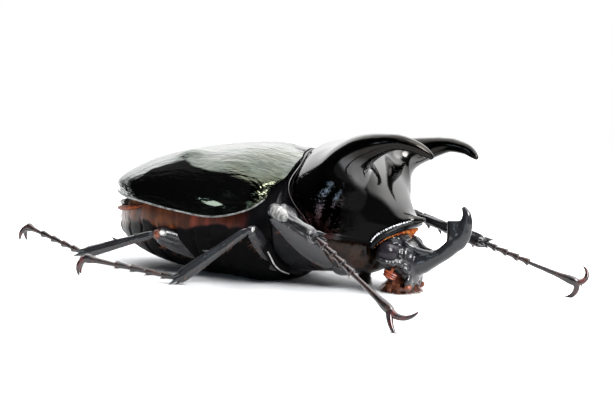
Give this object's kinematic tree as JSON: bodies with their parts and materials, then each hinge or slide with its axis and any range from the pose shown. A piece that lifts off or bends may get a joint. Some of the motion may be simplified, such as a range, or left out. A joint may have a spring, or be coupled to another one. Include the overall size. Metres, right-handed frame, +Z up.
{
  "type": "caucasus beetle",
  "caption": "Life-size still model of a male caucasus beetle with three horns on its thorax and one on its head, resting on its belly with the legs spread.",
  "frame": {"origin": "centre of the flat on the underside of the hind chest that rests on the floor", "axes": "+X along the body towards the head, +Y to the animal's left, +Z up from the floor"},
  "size_m": [0.1192, 0.0882, 0.0323],
  "materials": {
    "shell_black": "polished black horn-like shell",
    "elytra_green": "polished black shell with a green sheen and faint wrinkles",
    "belly_brown": "satin red-brown shell",
    "eye_dark": "polished dark eye",
    "feeler_orange": "matt orange-brown",
    "mouth_brown": "matt red-brown with short bristles",
    "claw_brown": "polished dark red-brown"
  },
  "bodies": {
    "root": {"abdomen": "belly_brown", "antenna_left": "feeler_orange", "antenna_right": "feeler_orange", "elytron_left": "elytra_green", "elytron_right": "elytra_green", "eye_left": "eye_dark", "eye_right": "eye_dark", "head": "shell_black", "head_horn": "shell_black", "leg_front_left_coxa": "shell_black", "leg_front_left_femur": "shell_black", "leg_front_left_tarsus": "claw_brown", "leg_front_left_tibia": "shell_black", "leg_front_right_coxa": "shell_black", "leg_front_right_femur": "shell_black", "leg_front_right_tarsus": "claw_brown", "leg_front_right_tibia": "shell_black", "leg_hind_left_coxa": "shell_black", "leg_hind_left_femur": "shell_black", "leg_hind_left_tarsus": "claw_brown", "leg_hind_left_tibia": "shell_black", "leg_hind_right_coxa": "shell_black", "leg_hind_right_femur": "shell_black", "leg_hind_right_tarsus": "claw_brown", "leg_hind_right_tibia": "shell_black", "leg_middle_left_coxa": "shell_black", "leg_middle_left_femur": "shell_black", "leg_middle_left_tarsus": "claw_brown", "leg_middle_left_tibia": "shell_black", "leg_middle_right_coxa": "shell_black", "leg_middle_right_femur": "shell_black", "leg_middle_right_tarsus": "claw_brown", "leg_middle_right_tibia": "shell_black", "mesothorax": "shell_black", "metathorax": "shell_black", "mouthparts": "mouth_brown", "pronotum": "shell_black", "prosternum": "shell_black", "pygidium": "belly_brown", "scutellum": "shell_black", "thoracic_horn_left": "shell_black", "thoracic_horn_middle": "shell_black", "thoracic_horn_right": "shell_black"}
  },
  "joints": []
}
